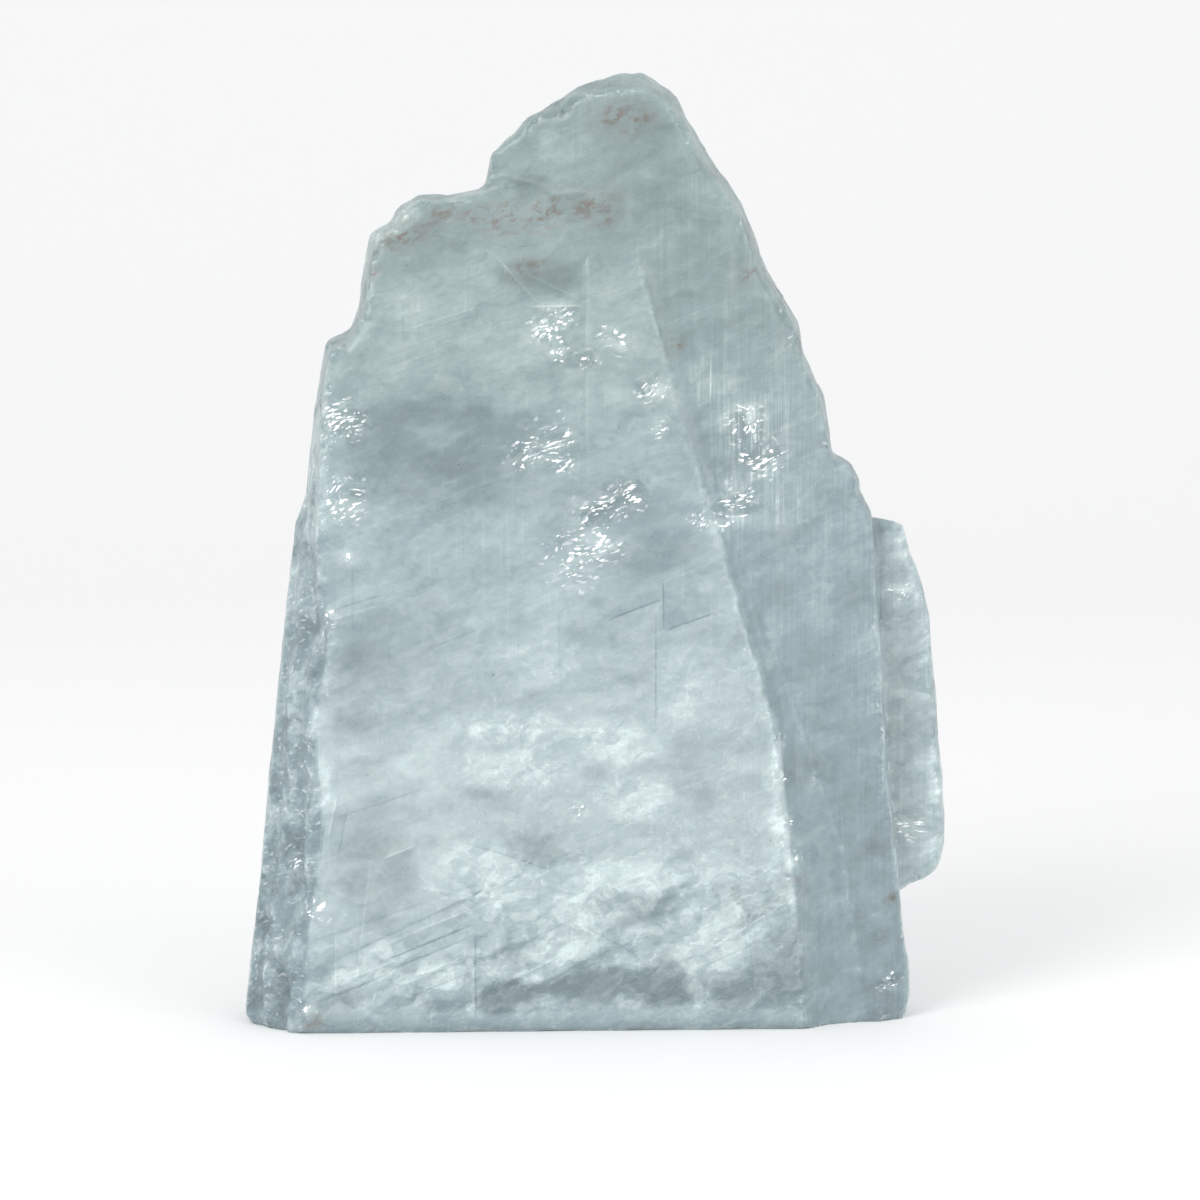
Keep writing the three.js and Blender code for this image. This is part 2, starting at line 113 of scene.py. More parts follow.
# Milky and clear clouds: x, z, half width, half height, turn in degrees, and strength, clear below 0
CLOUDS = [
    (-19, 60.5, 11, 3.1, 0, 0.8), (-14, 52.5, 12, 3.5, 5, 0.7), (-12, 74.5, 8, 4.8, 0, 0.45),
    (3.5, 57.5, 9, 4.2, -10, 0.7), (-26, 33.5, 10, 5.4, 15, 0.6), (5.5, 31.5, 12, 2.7, -4, 1),
    (-7.5, 14, 10, 1.9, 27, 0.95), (-21.5, 17.5, 2, 3.3, 0, 0.5), (-30, 10.5, 6, 3.8, 0, 0.6),
    (-54, 51, 3, 4.6, 0, 0.5), (36.5, 46, 1.8, 13, 8, 0.8), (32, 23, 8, 4.8, 20, 0.1),
    (16.5, 68, 5, 7.3, 0, 0.35), (-8.5, 174, 5, 3.5, 0, 0.4), (-14.5, 138, 12, 6.1, 0, 0.3),
    (5.5, 142.5, 7, 10.8, 0, 0.35), (4.5, 126, 4, 2.3, 0, 0.5), (-33, 140.5, 7, 4.2, 0, 0.3),
    (20.5, 34, 8, 3.8, -15, 0.2), (-7.5, 83.5, 8, 3.8, 0, 0.2), (8.5, 46, 10, 4.2, -20, 0.5),
    (-35, 54, 8, 5.8, 0, 0.2), (-43.5, 34, 9, 12, 0, -0.38), (36, 14, 9, 7, 20, -0.4),
    (8, 114, 8, 9, 0, 0.1), (-8, 24, 14, 7, 10, 0.25),
    (-17.5, 7, 6, 2.7, 12, -0.95), (-1.5, 9.5, 9, 3.1, 5, -0.85), (12.5, 8.5, 6, 4.2, -10, -0.6),
    (-26.5, 11.5, 1, 1.7, 0, -0.8), (-1.5, 51, 5, 2, -15, -0.3), (-23, 47, 3, 1.2, 15, -0.2),
    (-14, 37, 8, 3.5, -15, -0.35), (6.5, 23, 10, 2.7, 10, -0.25), (-33, 119, 21, 7.3, 0, -0.5),
    (-12, 149, 9, 3.8, 0, -0.3), (-13, 167, 3, 1.9, 0, -0.4), (-38.5, 77.5, 12, 7.7, 20, -0.25),
    (-48.5, 68, 6, 11.5, 0, -0.3), (0.5, 105, 15, 4.8, 0, -0.3), (-29, 109, 17, 5.8, 0, -0.4),
    (26, 9, 5, 3.8, 0, -0.5), (-50.5, 7, 6, 2.7, 15, -0.3), (12.5, 93, 10, 5.8, 10, -0.3),
    (18.5, 50, 5, 7.7, 0, -0.3),
]
# Cleavage lines: x and z of the middle, length, turn in degrees, and strength, dark below 0
LINES = [
    (7.5, 83.5, 12, 21, -0.9), (13, 84.5, 10, -90, -0.7), (18, 81, 11, 19, -0.9),
    (11.5, 71, 24, -90, -0.5), (-33.5, 18, 21, 22, -1), (-33, 16, 19, 22, -0.6),
    (-29.5, 14, 11, 22, 0.6), (-24, 12, 20, -90, -0.6), (-36, 22, 44, 25, -0.4),
    (-43, 45.5, 21, 18, -0.35), (-39, 36, 8, 21, 0.8), (-47.5, 85, 13, 17, -0.4),
    (-48, 83, 11, 16, 0.4), (-28, 78, 11, 21, -0.3), (-17.5, 35, 20, -18, -0.4),
    (-51.5, 8, 9, 23, -0.4), (-46, 22.5, 32, -97, 0.25), (-2, 131.5, 42, -90, 0.25),
    (-31, 140.5, 17, 17, 0.35), (-28, 140, 9, 17, -0.3), (-16, 148.5, 12, -48, 0.4),
    (-9, 147, 14, -25, 0.35), (-8, 143, 11, 1, 0.9), (-10, 138.5, 6, 7, 0.8),
    (-54, 38, 10, -97, -0.5), (-37, 25, 42, 19, -0.3), (-38, 140, 9, -90, -0.25),
    (-35, 140.5, 10, -90, -0.25), (29, 20.5, 25, 31, 0.4), (-58.5, 61, 14, -90, -0.5),
    (-51.5, 14, 18, -90, 0.3), (-48, 85.5, 16, -90, -0.25), (-7.5, 77.5, 16, -90, -0.2),
    (-15, 60, 12, -88, -0.2), (-32, 12.5, 17, 22, 0.5), (-30, 10.2, 14, 22, -0.5),
    (-34, 21, 20, 22, 0.4), (-44, 13, 12, 22, 0.5), (-46, 10, 12, 23, -0.5), (-12, 13, 18, 27, 0.5),
    (-10, 20, 16, 27, -0.4), (3, 18, 14, -30, -0.35), (28, 16, 16, 24, -0.5), (24, 26, 12, 30, 0.4),
    (-28, 28, 20, -8, 0.35), (-52, 43, 9, 78, 0.6), (-50, 40, 12, 80, -0.4),
]
# Clusters of painted glints, white spots that stand for light flashing off broken facets, partly real
# white fracture flecks: x, z and radius
PAINTED_GLINTS = [
    (-50.5, 121, 2.7), (-49.5, 105, 2.7), (-15, 114, 1.9), (-9.5, 117, 2.7), (-7, 112.5, 1.5),
    (-1.5, 101, 2.7), (-4, 94, 3.5), (2.5, 104, 2.3), (6.5, 106, 1.9), (1.5, 96, 2.3),
    (-10, 138.5, 1.9), (-7, 140.5, 1.5), (2.5, 137.5, 1.5), (10.5, 126.5, 1.7), (5, 135.5, 1.2),
    (20, 101, 1.2), (29, 119.5, 2.3), (32, 112.5, 2.7), (28, 105, 2.3), (24.5, 101, 1.5),
    (-58.5, 32.5, 1.5), (-55, 24.5, 1.5), (-57.5, 5, 1.2), (-3.5, 43.5, 1), (60.5, 85, 1.5),
    (63, 37.5, 1.9), (58, 8, 1.5), (-7.5, 134.5, 1.5), (-1.5, 132.5, 1.2), (11.5, 118.5, 1.2),
    (35.5, 57, 0.9), (36.5, 50, 1), (37.5, 41, 0.9), (39, 34, 0.8), (-52, 82, 1.2), (-49, 94, 1),
]
# Patches of painted sheen, silvery streaks that stand for light glancing off the side plate's striations:
# x, z and radius
PAINTED_SHEEN_SPOTS = [(31, 119, 4), (29, 113, 4.5), (27, 106, 3.5), (23.5, 101, 3), (36, 104, 3), (22, 128, 2.5)]
# Iron stains: x, z and radius
STAINS = [
    (3.5, 180.2, 1.6), (7.5, 179, 1.4), (-1, 162.5, 1.7), (2, 160.5, 1), (-10, 161.5, 2),
    (-17.5, 160.5, 1.8), (-24, 161, 1), (-31, 160.5, 1.2), (-38, 156.5, 1.6), (-14, 150, 1.2),
    (30, 149, 0.8), (15.5, 135.5, 0.8), (59, 24.5, 0.6), (-44, 149.5, 0.6), (-56, 2.4, 0.8),
    (39.2, 29.6, 0.5),
]

# Grain of the material's fine patterns in millimetres: sideways or along the cleavage, upward or
# across it, and into the stone
MOTTLE = (2.6, 1.5, 2)
THREADS = (7, 4, 5)
RISING_LINES = (45, 0.5, 12)
UPRIGHT_LINES = (0.5, 34, 12)
STREAKS = (0.5, 36, 2.5)
PAINTED_GLIMMER_GRAIN = (0.45, 16, 2.5)
SHARDS = (0.95, 0.42, 0.6)
ROUGH_GROUND = (1.3, 0.9, 1.2)

# Grain of the mesh's patterns in millimetres: sideways or along the cleavage, into the stone, and
# upward or across it
CLOUD_GRAIN = (20, 20, 11)
PUFF_GRAIN = (12, 8, 4.5)
WISP_GRAIN = (13, 5, 4.2)
SHEET_GRAIN = (19, 5, 6)
FILM_GRAIN = (8, 3, 2.4)
PANE_GRAIN = (9, 5.5, 7)
BLOCK_GRAIN = (2.6, 4, 7)
TERRACE_GRAIN = (26, 20, 11)
SPLINTER_GRAIN = (4.2, 4, 2.6)
GROOVE_GRAIN = (3.6, 6, 90)
BLADE_GRAIN = (3.2, 3.2, 45)
SWELL_GRAIN = (16, 16, 16)
CHIP_GRAIN = (2.8, 2.8, 2.8)
CHIP_CELL = (2.2, 2.2, 2.2)
# The films' own turn in degrees, steeper than the sheets'
FILM_TURN = 28
# How far the patterns are pushed aside, and over what distance, in millimetres
PUSHES = ((2.2, 7), (0.9, 3))

# What is stored at each vertex for the material to read
VALUES = (
    "milk", "wear", "plate", "wall", "band", "flank", "flake", "painted_glint", "stain", "line",
    "painted_sheen", "wisp", "sheet", "film", "pane", "block",
)
SHIFT = "shift"
WHITE = (1, 1, 1, 1)
# What the colours near the top are multiplied by, and how bright a deep crack is beside clear stone
WARM = (1.0, 0.99, 0.925, 1)
CRACK_SHARE = 0.62


def srgb(red, green, blue):
    """A shader colour from screen values of 0 to 255."""
    def linear(value):
        """One channel's linear value."""
        share = value / 255
        return share / 12.92 if share <= 0.04045 else ((share + 0.055) / 1.055) ** 2.4
    return (linear(red), linear(green), linear(blue), 1.0)


# The studio, in metres: what the lights look at, where the camera aims, and each light's place and size
STONE_MIDDLE = (0, 0, 0.09)
AIM = (0.55 * MM, 0, 83.6 * MM)
KEY_PLACE = (-0.75, -1.15, 0.85)
KEY_SIZE = 0.7
FILL_PLACE = (0.95, -0.9, 0.45)
FILL_SIZE = 0.8
# The backdrop, in metres: half its width, where its floor starts, the floor's depth, the wall's height
# and the radius of the fold between them
BACKDROP_HALF = 3
FLOOR_FRONT = -3
FLOOR_DEPTH = 5
WALL_HEIGHT = 3
FOLD_RADIUS = 1.2
# The even light all round
SKY_COLOR = (0.95, 0.98, 1.0, 1.0)
SKY_STRENGTH = 0.85


class SlabSettings(bpy.types.PropertyGroup):
    """Sizes and colours of the stone."""
    spacing: bpy.props.FloatProperty(
        name="Spacing", description="Size of the surface's faces",
        default=0.86 * MM, unit="LENGTH")
    swell: bpy.props.FloatProperty(
        name="Swell", description="How far the flat faces rise and fall",
        default=0.1 * MM, unit="LENGTH")
    terrace: bpy.props.FloatProperty(
        name="Terrace", description="Height from the lowest to the highest cleavage terrace",
        default=0.9 * MM, unit="LENGTH")
    softening: bpy.props.IntProperty(
        name="Softening", description="Rounds of smoothing that ease the low steps inside the flat faces",
        default=20, min=0)
    groove: bpy.props.FloatProperty(
        name="Groove", description="Depth of the upright striations",
        default=0.12 * MM, unit="LENGTH")
    ledge: bpy.props.FloatProperty(
        name="Ledge", description="Height of the step along a cleavage line",
        default=0.16 * MM, unit="LENGTH")
    chip: bpy.props.FloatProperty(
        name="Chip", description="How deep the sharp edges are chipped",
        default=0.6 * MM, unit="LENGTH")
    splinter: bpy.props.FloatProperty(
        name="Splinter", description="Height of the splinters where the stone is broken up",
        default=0.3 * MM, unit="LENGTH")
    clear_color: bpy.props.FloatVectorProperty(
        name="Clear", description="Colour where the stone is clear and deep",
        default=srgb(141, 158, 163), size=4, subtype="COLOR", min=0, max=1)
    body_color: bpy.props.FloatVectorProperty(
        name="Body", description="Colour of most of the stone",
        default=srgb(181, 194, 195), size=4, subtype="COLOR", min=0, max=1)
    milk_color: bpy.props.FloatVectorProperty(
        name="Milk", description="Colour of the milky clouds",
        default=srgb(219, 231, 231), size=4, subtype="COLOR", min=0, max=1)
    stain_color: bpy.props.FloatVectorProperty(
        name="Stain", description="Colour of the iron stains",
        default=srgb(113, 97, 86), size=4, subtype="COLOR", min=0, max=1)
    lost_color: bpy.props.FloatVectorProperty(
        name="Depth colour", description="Colour that white light takes on its way through",
        default=(0.62, 0.8, 0.82, 1), size=4, subtype="COLOR", min=0, max=1)
    density: bpy.props.FloatProperty(
        name="Density", description="How fast light takes that colour, for each metre",
        default=12.0, min=0)
    ior: bpy.props.FloatProperty(
        name="Refraction", description="Index of refraction of gypsum", default=1.525, min=1)
    clearness: bpy.props.FloatProperty(
        name="Clearness", description="Transmission where the stone is clearest",
        default=0.3, min=0, max=1, subtype="FACTOR")
    milkiness: bpy.props.FloatProperty(
        name="Milkiness", description="Share of the light that scatters under the surface",
        default=0.4, min=0, max=1, subtype="FACTOR")
    scatter: bpy.props.FloatProperty(
        name="Scatter", description="How far light spreads under the surface",
        default=5 * MM, unit="LENGTH")
    cloud_strength: bpy.props.FloatProperty(
        name="Clouds", description="How much paler a milky cloud is",
        default=0.066, min=0, max=1, subtype="FACTOR")
    line_strength: bpy.props.FloatProperty(
        name="Lines", description="How much paler or darker a cleavage line is",
        default=0.15, min=0, max=1, subtype="FACTOR")
    streak_strength: bpy.props.FloatProperty(
        name="Streaks", description="How much paler or darker the upright striations are",
        default=0.11, min=0, max=1, subtype="FACTOR")


class StudioSettings(bpy.types.PropertyGroup):
    """The floor, the lights and the camera."""
    floor_color: bpy.props.FloatVectorProperty(
        name="Floor", description="Colour of the floor and backdrop",
        default=srgb(254, 252, 251), size=4, subtype="COLOR", min=0, max=1)
    key_power: bpy.props.FloatProperty(
        name="Key light", description="Power of the large light on the left", default=9.0, unit="POWER")
    fill_power: bpy.props.FloatProperty(
        name="Fill light", description="Power of the light on the right", default=4.0, unit="POWER")
    distance: bpy.props.FloatProperty(
        name="Camera distance", description="From the camera to the middle of the stone",
        default=1.0, unit="LENGTH")
    elevation: bpy.props.FloatProperty(
        name="Camera elevation", description="How far the camera looks down",
        default=math.radians(6), subtype="ANGLE")
    lens: bpy.props.FloatProperty(
        name="Lens", description="Focal length in millimetres on a 36 mm sensor", default=150.0)


class Graph:
    """Adds shader nodes and links them."""

    def __init__(self, tree):
        """Empties a node tree and adds the object's coordinates."""
        self.tree = tree
        tree.nodes.clear()
        self.place = self.node("ShaderNodeTexCoord").outputs["Object"]

    def node(self, kind, **settings):
        """A new node with its settings."""
        made = self.tree.nodes.new(kind)
        for name, value in settings.items():
            setattr(made, name, value)
        return made

    def feed(self, socket, source):
        """Links a socket to another, or sets its value."""
        if isinstance(source, bpy.types.NodeSocket):
            self.tree.links.new(source, socket)
        else:
            socket.default_value = source

    def stored(self, name):
        """A value that the mesh stores at its vertices."""
        return self.node("ShaderNodeAttribute", attribute_name=name).outputs["Fac"]

    def grain(self, sizes, turn=0.0, source=None):
        """Coordinates stretched along a turned direction of the show face, by sizes in millimetres."""
        along, across, deep = sizes
        mapping = self.node("ShaderNodeMapping", vector_type="TEXTURE")
        self.feed(mapping.inputs["Vector"], source or self.place)
        mapping.inputs["Rotation"].default_value = (0, -turn, 0)
        mapping.inputs["Scale"].default_value = (along * MM, deep * MM, across * MM)
        return mapping.outputs[0]

    def noise(self, vector, detail=3.0, rough=0.55):
        """Soft random value from 0 to 1."""
        made = self.node("ShaderNodeTexNoise")
        self.feed(made.inputs["Vector"], vector)
        made.inputs["Scale"].default_value = 1.0
        made.inputs["Detail"].default_value = detail
        made.inputs["Roughness"].default_value = rough
        return made.outputs[0]

    def cells(self, vector):
        """Random sharp-cornered cells: the distance to their middles, and a random value for each."""
        made = self.node("ShaderNodeTexVoronoi", distance="MANHATTAN")
        self.feed(made.inputs["Vector"], vector)
        made.inputs["Scale"].default_value = 1.0
        parts = self.node("ShaderNodeSeparateColor")
        self.feed(parts.inputs[0], made.outputs["Color"])
        return made.outputs["Distance"], parts.outputs[0]

    def math(self, operation, first, second=0.0, third=0.0):
        """Arithmetic on two or three values."""
        made = self.node("ShaderNodeMath", operation=operation)
        self.feed(made.inputs[0], first)
        self.feed(made.inputs[1], second)
        self.feed(made.inputs[2], third)
        return made.outputs[0]

    def add(self, total, value, amount):
        """A total with some amount of a value added."""
        return self.math("MULTIPLY_ADD", value, amount, total)

    def times(self, first, second):
        """The product of two values."""
        return self.math("MULTIPLY", first, second)

    def span(self, value, low, high, to_low=0.0, to_high=1.0):
        """A value eased from one range to another."""
        made = self.node("ShaderNodeMapRange", interpolation_type="SMOOTHSTEP")
        self.feed(made.inputs["Value"], value)
        made.inputs["From Min"].default_value = low
        made.inputs["From Max"].default_value = high
        made.inputs["To Min"].default_value = to_low
        made.inputs["To Max"].default_value = to_high
        return made.outputs[0]

    def fade(self, place, ends, to_low=0.0, to_high=1.0):
        """A value eased between two places in millimetres."""
        return self.span(place, ends[0] * MM, ends[1] * MM, to_low, to_high)

    def signed(self, value):
        """A value from 0 to 1 brought to both sides of 0."""
        return self.math("SUBTRACT", value, 0.5)

    def largest(self, *values):
        """The largest of some values."""
        most = values[0]
        for value in values[1:]:
            most = self.math("MAXIMUM", most, value)
        return most

    def rest(self, value):
        """What a value leaves of 1."""
        return self.math("SUBTRACT", 1.0, value)

    def between(self, share, first, second):
        """A value between two others."""
        made = self.node("ShaderNodeMix", data_type="FLOAT")
        self.feed(made.inputs[0], share)
        self.feed(made.inputs[2], first)
        self.feed(made.inputs[3], second)
        return made.outputs[0]

    def blend(self, share, first, second):
        """One colour over another."""
        made = self.node("ShaderNodeMix", data_type="RGBA")
        self.feed(made.inputs[0], share)
        self.feed(made.inputs[6], first)
        self.feed(made.inputs[7], second)
        return made.outputs[2]

    def tint(self, share, color, tinge):
        """A colour multiplied by another."""
        made = self.node("ShaderNodeMix", data_type="RGBA", blend_type="MULTIPLY")
        self.feed(made.inputs[0], share)
        self.feed(made.inputs[6], color)
        self.feed(made.inputs[7], tinge)
        return made.outputs[2]

    def ramp(self, value, stops):
        """A colour ramp through stops of a position and a colour."""
        made = self.node("ShaderNodeValToRGB")
        self.feed(made.inputs[0], value)
        while len(made.color_ramp.elements) < len(stops):
            made.color_ramp.elements.new(0.5)
        for element, (position, color) in zip(made.color_ramp.elements, stops):
            element.position = position
            element.color = color
        return made.outputs[0]

    def profile(self, height, tones):
        """Paleness by height, from a list of heights in millimetres and tones of 0 to 255."""
        stops = [(z * MM / TOP, (tone / 255, tone / 255, tone / 255, 1)) for z, tone in tones]
        return self.ramp(self.math("DIVIDE", height, TOP), stops)

    def pushed(self):
        """The object's coordinates pushed about by the shift that the mesh stores."""
        added = self.node("ShaderNodeVectorMath", operation="ADD")
        self.feed(added.inputs[0], self.place)
        shift = self.node("ShaderNodeAttribute", attribute_name=SHIFT)
        self.feed(added.inputs[1], shift.outputs["Vector"])
        return added.outputs[0]


def selenite_material(settings):
    """Milky translucent gypsum with clouds, cleavage sheets, striations, painted glints, painted sheen
    and stains.
    """
    material = bpy.data.materials.new("milky_selenite")
    material.use_nodes = True
    graph = Graph(material.node_tree)
    split = graph.node("ShaderNodeSeparateXYZ")
    graph.feed(split.inputs[0], graph.place)
    height = split.outputs["Z"]
    stored = {name: graph.stored(name) for name in VALUES}

    # How pale the stone is at each place, before its markings
    tone = graph.profile(height, FACE_TONES)
    tone = graph.between(stored["plate"], tone, graph.profile(height, PLATE_TONES))
    # The ridge wall darkened: painted shade for its side turned away from the light
    tone = graph.between(stored["wall"], tone, PAINTED_SHADE_WALL_TONE)
    tone = graph.between(graph.times(stored["flank"], 0.5), tone, FLANK_TONE)
    tone = graph.between(stored["band"], tone, graph.fade(height, BAND_HEIGHTS, *BAND_TONES))
    tone = graph.between(stored["flake"], tone, FLAKE_TONE)

    # Where the stone is broken up: the pale lower parts, the flanks and the clusters of painted glints
    cloudy = graph.times(graph.span(stored["milk"], 0.1, 0.6), graph.fade(height, CLOUDY_HEIGHTS))
    low_zone = graph.largest(graph.fade(height, BROKEN_HEIGHTS), graph.times(cloudy, 0.8))
    calm_left = graph.times(graph.fade(split.outputs["X"], CALM_SIDES), graph.fade(height, CALM_HEIGHTS))
    smooth = graph.largest(stored["plate"], stored["wall"], graph.times(calm_left, 0.75))
    uneven_face = graph.rest(smooth)
    low_zone = graph.times(graph.times(low_zone, graph.fade(height, STRIP_HEIGHTS)), uneven_face)
    broken = graph.largest(
        low_zone, graph.times(stored["band"], 0.8), graph.times(stored["flake"], 0.5), stored["painted_glint"])

    # Milky clouds with wispy borders, crisp where the stone is broken up
    milk = graph.add(stored["milk"], stored["wisp"], 0.9)
    milk = graph.add(milk, stored["pane"], graph.between(broken, 0.05, 0.24))
    crisp_milk = graph.span(milk, -0.45, 0.45, -0.8, 0.8)
    milk = graph.between(graph.times(broken, 0.5), milk, crisp_milk)
    tone = graph.add(tone, milk, settings.cloud_strength)

    # Thin sheets that overlap, each a little paler or darker than the next, and a fine mottle
    sheets = graph.math(
        "ADD", graph.span(stored["sheet"], 0.0, 0.1, -1, 1), graph.span(stored["film"], 0.1, 0.2, -1, 1))
    tone = graph.add(tone, sheets, graph.between(broken, 0.009, 0.027))
    mottle = graph.signed(graph.noise(graph.grain(MOTTLE, RISING), detail=4, rough=0.72))
    tone = graph.add(tone, mottle, graph.between(broken, 0.13, 0.26))

    # Thin pale threads that wind through the milky parts
    thread = graph.signed(graph.noise(graph.grain(THREADS, RISING, graph.pushed()), detail=3, rough=0.6))
    thread = graph.span(graph.math("ABSOLUTE", thread), 0.02, 0.003)
    thready = graph.times(graph.fade(height, THREADY_HEIGHTS), uneven_face)
    tone = graph.add(tone, graph.times(thread, graph.between(thready, 0.25, 1.0)), 0.038)

    # Faint parallel cleavage lines in patches, and the strong ones that the mesh stores
    rising = graph.noise(graph.grain(RISING_LINES, RISING), detail=1)
    rising = graph.math("SUBTRACT", graph.span(rising, 0.62, 0.7), graph.span(rising, 0.36, 0.28))
    upright = graph.noise(graph.grain(UPRIGHT_LINES), detail=1)
    upright = graph.math("SUBTRACT", graph.span(upright, 0.64, 0.72), graph.span(upright, 0.34, 0.26))
    in_patches = graph.span(stored["wisp"], -0.08, 0.05)
    tone = graph.add(tone, graph.times(graph.math("ADD", rising, upright), in_patches), 0.02)
    tone = graph.add(tone, stored["line"], settings.line_strength)

    # Upright striations of the side plate, fainter ones on the flanks and the ridge wall, and patches of
    # painted silvery sheen
    streak = graph.signed(graph.noise(graph.grain(STREAKS), detail=2, rough=0.7))
    streaked = graph.largest(
        stored["plate"], graph.times(stored["flank"], 0.8), graph.times(stored["wall"], 0.35))
    tone = graph.add(tone, graph.times(streak, streaked), settings.streak_strength)
    # Painted sheen: pale silvery streaks where the side plate catches the light
    painted_glimmer = graph.span(graph.noise(graph.grain(PAINTED_GLIMMER_GRAIN), detail=3), 0.48, 0.66)
    painted_glimmer = graph.times(painted_glimmer, graph.span(stored["wisp"], -0.1, 0.05, 0.3, 1.0))
    tone = graph.add(tone, graph.times(stored["painted_sheen"], painted_glimmer), 0.17)
    tone = graph.add(tone, stored["painted_sheen"], 0.025)

    # Blocky upright facets of the left flank
    blocks = graph.add(graph.span(stored["block"], 0.5, 0.6), stored["block"], 0.3)
    tone = graph.add(tone, graph.times(blocks, stored["band"]), 0.045)

    # Pale worn edges, partly painted light; flanks made paler as painted light; and a painted highlight
    # haze around the glints
    # Worn edges made pale: partly real chipped edges, partly painted light that brightens edges the
    # lighting leaves dark
    pale_edge_with_painted_light = graph.times(stored["wear"], graph.span(mottle, -0.02, 0.1))
    tone = graph.add(tone, pale_edge_with_painted_light, graph.fade(height, WORN_HEIGHTS, 0.06, 0.025))
    # Painted light: the flanks made paler where the light leaves them dark at grazing angles
    tone = graph.add(tone, stored["flank"], 0.02)
    # Painted highlight: a pale haze around the glint clusters
    tone = graph.add(tone, stored["painted_glint"], 0.05)

    # From paleness to colour, darkest in deep cracks and a little warmer near the top
    darkest = [CRACK_SHARE * value for value in settings.clear_color[:3]] + [1]
    color = graph.ramp(tone, [
        (0.48, darkest),
        (0.62, settings.clear_color),
        (0.76, settings.body_color),
        (0.905, settings.milk_color),
        (1.0, WHITE),
    ])
    color = graph.tint(graph.fade(height, WARM_HEIGHTS), color, WARM)

    # Stains, dark specks, and painted glints: white flecks for light flashing off facets, partly real
    # white fracture flecks
    rust = graph.span(mottle, -0.06, 0.1, 0.12, 0.85)
    color = graph.blend(graph.times(stored["stain"], rust), color, settings.stain_color)
    shard_depth, shard = graph.cells(graph.grain(SHARDS, RISING, graph.pushed()))
    off_speck = graph.math("ABSOLUTE", graph.math("SUBTRACT", shard, 0.3))
    specks = graph.times(graph.span(off_speck, 0.0008, 0.0005), graph.span(shard_depth, 0.4, 0.25))
    color = graph.blend(graph.times(specks, 0.6), color, settings.stain_color)
    # Painted glints: white base colour in the clusters, on the left band and along worn edges, standing
    # for light flashing off facets
    painted_sparkle = graph.largest(
        stored["painted_glint"], graph.times(stored["band"], 0.26), graph.times(stored["wear"], 0.28))
    painted_sparkle = graph.add(shard, painted_sparkle, 0.35)
    painted_glint = graph.times(graph.span(painted_sparkle, 1.03, 1.05), 0.3)
    painted_glint = graph.add(painted_glint, graph.span(painted_sparkle, 1.1, 1.12), 0.7)
    color = graph.blend(painted_glint, color, WHITE)

    shader = graph.node("ShaderNodeBsdfPrincipled")
    graph.feed(shader.inputs["Base Color"], color)
    roughness = graph.span(stored["wisp"], -0.2, 0.2, 0.26, 0.42)
    graph.feed(shader.inputs["Roughness"], graph.between(painted_glint, roughness, 0.12))
    shader.inputs["IOR"].default_value = settings.ior
    shader.inputs["Subsurface Weight"].default_value = settings.milkiness
    shader.inputs["Subsurface Radius"].default_value = (0.8, 1.0, 1.1)
    shader.inputs["Subsurface Scale"].default_value = settings.scatter
    clear = graph.span(milk, 0.4, -1.0, 0.0, settings.clearness)
    graph.feed(shader.inputs["Transmission Weight"], graph.between(painted_glint, clear, 0.0))

    # Relief too fine for the mesh, in millimetres
    rough_ground = graph.noise(graph.grain(ROUGH_GROUND, RISING), detail=2)
    relief = graph.times(rough_ground, graph.between(broken, 0.04, 0.16))
    bump = graph.node("ShaderNodeBump")
    bump.inputs["Strength"].default_value = 1.0
    bump.inputs["Distance"].default_value = MM
    graph.feed(bump.inputs["Height"], relief)
    graph.feed(shader.inputs["Normal"], bump.outputs[0])

    # What light loses on its way through
    inside = graph.node("ShaderNodeVolumeAbsorption")
    inside.inputs["Color"].default_value = settings.lost_color
    inside.inputs["Density"].default_value = settings.density
    output = graph.node("ShaderNodeOutputMaterial")
    graph.feed(output.inputs["Surface"], shader.outputs[0])
    graph.feed(output.inputs["Volume"], inside.outputs[0])
    return material


def at_height(points, z, column=1):
    """The value in a column of a list at a height, both in millimetres."""
    if z <= points[0][0]:
        return points[0][column]
    for lower, upper in zip(points, points[1:]):
        if z <= upper[0]:
            share = (z - lower[0]) / (upper[0] - lower[0])
            return lower[column] + (upper[column] - lower[column]) * share
    return points[-1][column]


def uneven(place, grain, rough, octaves, gap=2.1):
    """Uneven ground from about -1 to 1, whose grain has a size along each direction."""
    scaled = Vector([where / size for where, size in zip(place, grain)])
    return noise.fractal(scaled, rough, gap, octaves)


def clamp(value, low=0.0, high=1.0):
    """A value held between two others."""
    return min(high, max(low, value))


def ease(value):
    """A value from 0 to 1 eased at both ends."""
    share = clamp(value)
    return share * share * (3 - 2 * share)


def turned(x, z, degrees):
    """A place along and across a direction that is turned from the level."""
    angle = math.radians(degrees)
    return x * math.cos(angle) + z * math.sin(angle), z * math.cos(angle) - x * math.sin(angle)


def even_mesh(context, source, spacing):
    """A solid's surface made again of even faces, as a bmesh."""
    bm = bmesh.new()
    bm.from_mesh(source)
    bmesh.ops.remove_doubles(bm, verts=bm.verts, dist=1e-6)
    merged = bpy.data.meshes.new("merged")
    bm.to_mesh(merged)
    holder = bpy.data.objects.new("merged", merged)
    context.scene.collection.objects.link(holder)
    remesh = holder.modifiers.new("even", "REMESH")
    remesh.mode = "VOXEL"
    remesh.voxel_size = spacing
    even = bpy.data.meshes.new_from_object(holder.evaluated_get(context.evaluated_depsgraph_get()))
    bm.clear()
    bm.from_mesh(even)
    bpy.data.objects.remove(holder)
    bpy.data.meshes.remove(merged)
    bpy.data.meshes.remove(even)
    bm.normal_update()
    return bm


